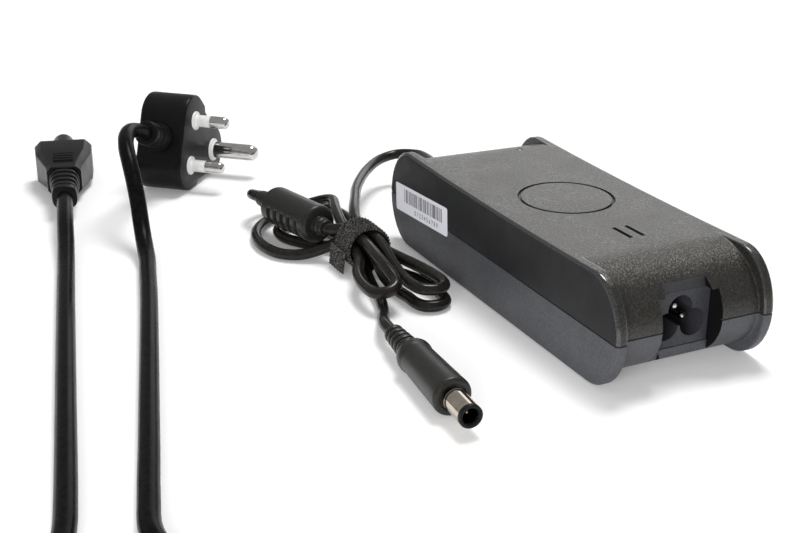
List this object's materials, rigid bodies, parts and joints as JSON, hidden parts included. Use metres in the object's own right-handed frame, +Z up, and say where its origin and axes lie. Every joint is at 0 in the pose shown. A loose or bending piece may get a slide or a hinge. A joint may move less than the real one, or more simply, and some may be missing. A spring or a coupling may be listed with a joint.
{
  "type": "laptop power adapter",
  "caption": "Rounded black laptop power brick with a three-pin inlet, a tied DC cord with ferrite choke and barrel plug, and a separate mains lead with round-pin plug.",
  "frame": {"origin": "bottom centre of the brick, on the surface it stands on", "axes": "+X along the brick towards the mains inlet, +Y away from the side with the barcode label, +Z up"},
  "size_m": [0.4181, 0.2626, 0.0392],
  "materials": {
    "case_plastic": "fine spark-eroded texture",
    "label_paper": "satin printed film",
    "clear_plastic": "clear",
    "led_body": "milky",
    "inlet_plastic": "semi-gloss",
    "nickel": "polished nickel plate",
    "brass": "plain",
    "wire_red": "insulation",
    "wire_black": "insulation",
    "board": "solder mask",
    "fish_paper": "satin sheet",
    "steel_shield": "tinned",
    "ceramic_fuse": "matt",
    "film_yellow": "glossy",
    "copper_winding": "enamelled wire",
    "epoxy_black": "moulded epoxy",
    "can_blue": "shrink sleeve",
    "aluminium": "extruded",
    "ferrite": "sintered",
    "winding_tape": "polyester tape",
    "cord_pvc": "satin",
    "moulding_pvc": "satin moulded",
    "hook_loop": "woven hook and loop",
    "plug_plastic": "semi-gloss",
    "white_nylon": "satin"
  },
  "bodies": {
    "adapter": {"top_cover": "case_plastic", "bottom_cover": "case_plastic", "barcode_label": "label_paper", "led_lens": "clear_plastic", "status_led": "led_body", "inlet_housing": "inlet_plastic", "inlet_pins": "nickel", "inlet_wires": "wire_red", "circuit_board": "board", "insulating_sheet": "fish_paper", "heat_shield": "steel_shield", "mains_fuse": "ceramic_fuse", "line_capacitor": "film_yellow", "input_choke": "copper_winding", "bridge_rectifier": "epoxy_black", "reservoir_capacitor": "can_blue", "primary_heat_sink": "aluminium", "switching_transistor": "epoxy_black", "transformer_core": "ferrite", "transformer_winding": "winding_tape", "secondary_heat_sink": "aluminium", "output_rectifiers": "epoxy_black", "output_capacitors": "can_blue", "output_choke": "copper_winding", "control_chips": "epoxy_black", "output_wires": "wire_black", "dc_strain_relief": "moulding_pvc", "dc_cord_lead": "cord_pvc", "dc_cord_loops": "cord_pvc", "dc_cord_tail": "cord_pvc", "choke_housing": "moulding_pvc", "ferrite_core": "ferrite", "tie_band": "hook_loop", "plug_relief": "moulding_pvc", "plug_grip": "moulding_pvc", "plug_barrel": "nickel", "plug_tip": "plug_plastic", "plug_sense_pin": "brass"},
    "tie_tail": {"tie_tail": "hook_loop"},
    "mains_lead": {"c5_body": "moulding_pvc", "c5_contacts": "brass", "c5_relief": "moulding_pvc", "mains_cord_front": "cord_pvc", "mains_coil": "cord_pvc", "mains_cord_back": "cord_pvc", "coil_tie": "hook_loop", "mains_relief": "moulding_pvc", "mains_plug_body": "moulding_pvc", "pin_collars": "white_nylon", "earth_pin": "nickel", "live_pins": "nickel", "pin_sleeves": "white_nylon"}
  },
  "joints": [
    {"name": "tie_tail_peel", "type": "hinge", "parent": "adapter", "child": "tie_tail", "pos_m": [-0.0515, -0.0637, 0.0082], "axis": [-1, 0, 0], "range_deg": [0, 100]},
    {"name": "mains_lead_lift", "type": "slide", "parent": "adapter", "child": "mains_lead", "axis": [0, 0, 1], "range_m": [0, 0.04]}
  ]
}
